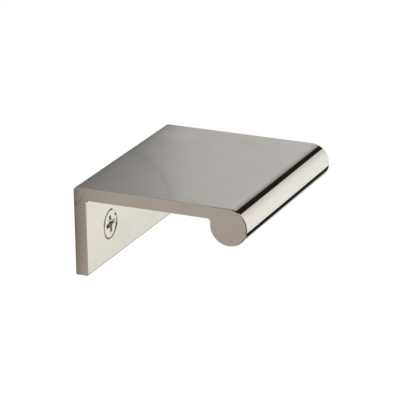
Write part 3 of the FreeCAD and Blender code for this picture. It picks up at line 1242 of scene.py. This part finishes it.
def build_cards(floor_height):
    """What the polished faces mirror, above, behind, before and below the pull."""
    upright_card("backdrop_card", BACKDROP_Y, floor_height, BACKDROP_TOP, BACKDROP_TONES,
                 BACKDROP_TINT)
    upright_card("front_card", FRONT_Y, floor_height, FRONT_TOP, FRONT_TONES)
    whole = (-CARD_REACH, CARD_REACH)
    slanted_card("overhead_card", whole, span(OVERHEAD_TONES), OVERHEAD_HEIGHT, OVERHEAD_TONES,
                 OVERHEAD_SLANT, OVERHEAD_X)
    slanted_card("brow_card", BROW_SIDES, BROW_ENDS, OVERHEAD_HEIGHT - BROW_DROP, BROW_TONES,
                 BROW_SLANT, BROW_X)
    lower = floor_height + LOWER_LIFT
    level_card("lower_card", whole, span(LOWER_TONES), lower, LOWER_TONES)
    upper = lower + LOWER_LIFT
    slanted_card("strip_card", STRIP_SIDES, STRIP_ENDS, upper, STRIP_TONES, STRIP_SLANT, STRIP_X)
    slanted_card("edge_card", EDGE_SIDES, EDGE_ENDS, upper, EDGE_TONES, EDGE_SLANT, EDGE_X)
    level_card("rear_left_card", (-CARD_REACH, REAR_LEFT_END), (REAR_LEFT_START, BACKDROP_Y),
               upper, REAR_LEFT_TONES, REAR_TINT, ALONG_X)
    level_card("rear_right_card", (REAR_LEFT_END, CARD_REACH), (REAR_RIGHT_START, BACKDROP_Y),
               upper, REAR_RIGHT_TONES, REAR_TINT, ALONG_X)
    level_card("front_patch", (-PATCH_HALF_WIDTH, PATCH_HALF_WIDTH), span(PATCH_TONES),
               upper, PATCH_TONES)


def build_camera(studio):
    """The photograph's view."""
    data = bpy.data.cameras.new("camera")
    data.sensor_fit = "HORIZONTAL"
    data.angle = studio.field
    data.clip_start = CLIP_START
    data.clip_end = CLIP_END
    camera = add_object("camera", data)
    cos_e = math.cos(studio.elevation)
    back = Vector((math.sin(studio.azimuth) * cos_e, -math.cos(studio.azimuth) * cos_e,
                   math.sin(studio.elevation)))
    camera.location = Vector(studio.look_at) + back * studio.distance
    turn = back.to_track_quat("Z", "Y").to_matrix()
    camera.rotation_euler = (turn @ Matrix.Rotation(studio.roll, 3, "Z")).to_euler()
    bpy.context.scene.camera = camera


def build_lamp(name, place, target, size, power):
    """A soft lamp that reflections don't show."""
    data = bpy.data.lights.new(name, "AREA")
    data.shape = "SQUARE"
    data.size = size
    data.energy = power
    lamp = add_object(name, data)
    lamp.location = place
    lamp.rotation_euler = (Vector(place) - Vector(target)).to_track_quat("Z", "Y").to_euler()
    lamp.visible_glossy = False
    lamp.visible_camera = False


# Operators

class TABPULL_OT_pull(bpy.types.Operator):
    """Build the polished pull in place of its solid"""

    bl_idname = "tabpull.pull"
    bl_label = "Build the pull"

    def execute(self, context):
        pull = context.scene.tab_pull
        polish = polished_nickel("polished_nickel", pull.metal, pull.metal_dull, PULL_WAVE,
                                 painted_and_worn=True)
        # Painted shade for the countersinks' cones
        residue_and_painted_shade = compound("countersink_painted_shade", pull.residue_and_painted_shade, pull.residue_shade, GRAIN)
        piece = build_pull(pull).piece("polished_pull", [polish, residue_and_painted_shade])
        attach(piece, BODY)
        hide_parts("pull_body")
        return {"FINISHED"}


class TABPULL_OT_screws(bpy.types.Operator):
    """Build the two countersunk screws in place of their solids"""

    bl_idname = "tabpull.screws"
    bl_label = "Build the screws"

    def execute(self, context):
        pull = context.scene.tab_pull
        screw = context.scene.tab_pull_screws
        polish = polished_nickel("screw_nickel", screw.metal, screw.metal, SCREW_WAVE)
        # Compound in the recesses, with painted shade and painted highlights in the near screw's
        packed = compound("recess_compound_and_painted_light", screw.recess_fill, screw.recess_shade,
                          RECESS_GRAIN, RECESS_PAINTED_LIGHT_AND_SHADE)
        joint = compound("joint_compound", pull.line, pull.line_shade, GRAIN)
        thick = compound("thick_compound", pull.residue_and_painted_shade, pull.residue_shade, GRAIN)
        materials = [polish, packed, joint]
        for name, side, turn, line in (
                ("screw_near", -1, screw.near_turn, NEAR_RING),
                ("screw_far", 1, screw.far_turn, FAR_RING)):
            piece = build_screw(name, screw, pull, side, turn, materials)
            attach(piece, BODY)
            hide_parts("mounting_screws")
            film = build_film(f"{name}_film", screw, pull, side, line, [polish, joint, thick])
            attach(film, BODY)
        return {"FINISHED"}


class TABPULL_OT_stage(bpy.types.Operator):
    """Build the floor, the reflected cards, the lamp, the room and the camera"""

    bl_idname = "tabpull.stage"
    bl_label = "Build the studio"

    def execute(self, context):
        studio = context.scene.tab_pull_studio
        floor_height = context.scene.tab_pull.bottom - studio.floor_drop
        build_floor(floor_height)
        build_cards(floor_height)
        build_world(studio)
        build_lamp("key", KEY_PLACE, KEY_TARGET, KEY_SIZE, studio.key_power)
        build_camera(studio)
        context.scene.view_settings.view_transform = "Standard"
        return {"FINISHED"}


class TABPULL_PT_panel(bpy.types.Panel):
    """Buttons and settings in the sidebar"""

    bl_idname = "TABPULL_PT_panel"
    bl_label = "Tab pull"
    bl_space_type = "VIEW_3D"
    bl_region_type = "UI"
    bl_category = "Tab pull"

    def draw(self, context):
        layout = self.layout
        for operator, settings in (
                (TABPULL_OT_pull, context.scene.tab_pull),
                (TABPULL_OT_screws, context.scene.tab_pull_screws),
                (TABPULL_OT_stage, context.scene.tab_pull_studio)):
            layout.operator(operator.bl_idname)
            column = layout.column(align=True)
            for key in settings.__annotations__:
                column.prop(settings, key)


CLASSES = (
    PullSettings,
    ScrewSettings,
    StudioSettings,
    TABPULL_OT_pull,
    TABPULL_OT_screws,
    TABPULL_OT_stage,
    TABPULL_PT_panel,
)


def register():
    for item in CLASSES:
        bpy.utils.register_class(item)
    bpy.types.Scene.tab_pull = PointerProperty(type=PullSettings)
    bpy.types.Scene.tab_pull_screws = PointerProperty(type=ScrewSettings)
    bpy.types.Scene.tab_pull_studio = PointerProperty(type=StudioSettings)


def unregister():
    del bpy.types.Scene.tab_pull_studio
    del bpy.types.Scene.tab_pull_screws
    del bpy.types.Scene.tab_pull
    for item in reversed(CLASSES):
        bpy.utils.unregister_class(item)


def main():
    register()
    bpy.ops.tabpull.pull()
    bpy.ops.tabpull.screws()
    bpy.ops.tabpull.stage()


if __name__ == "__main__":
    main()
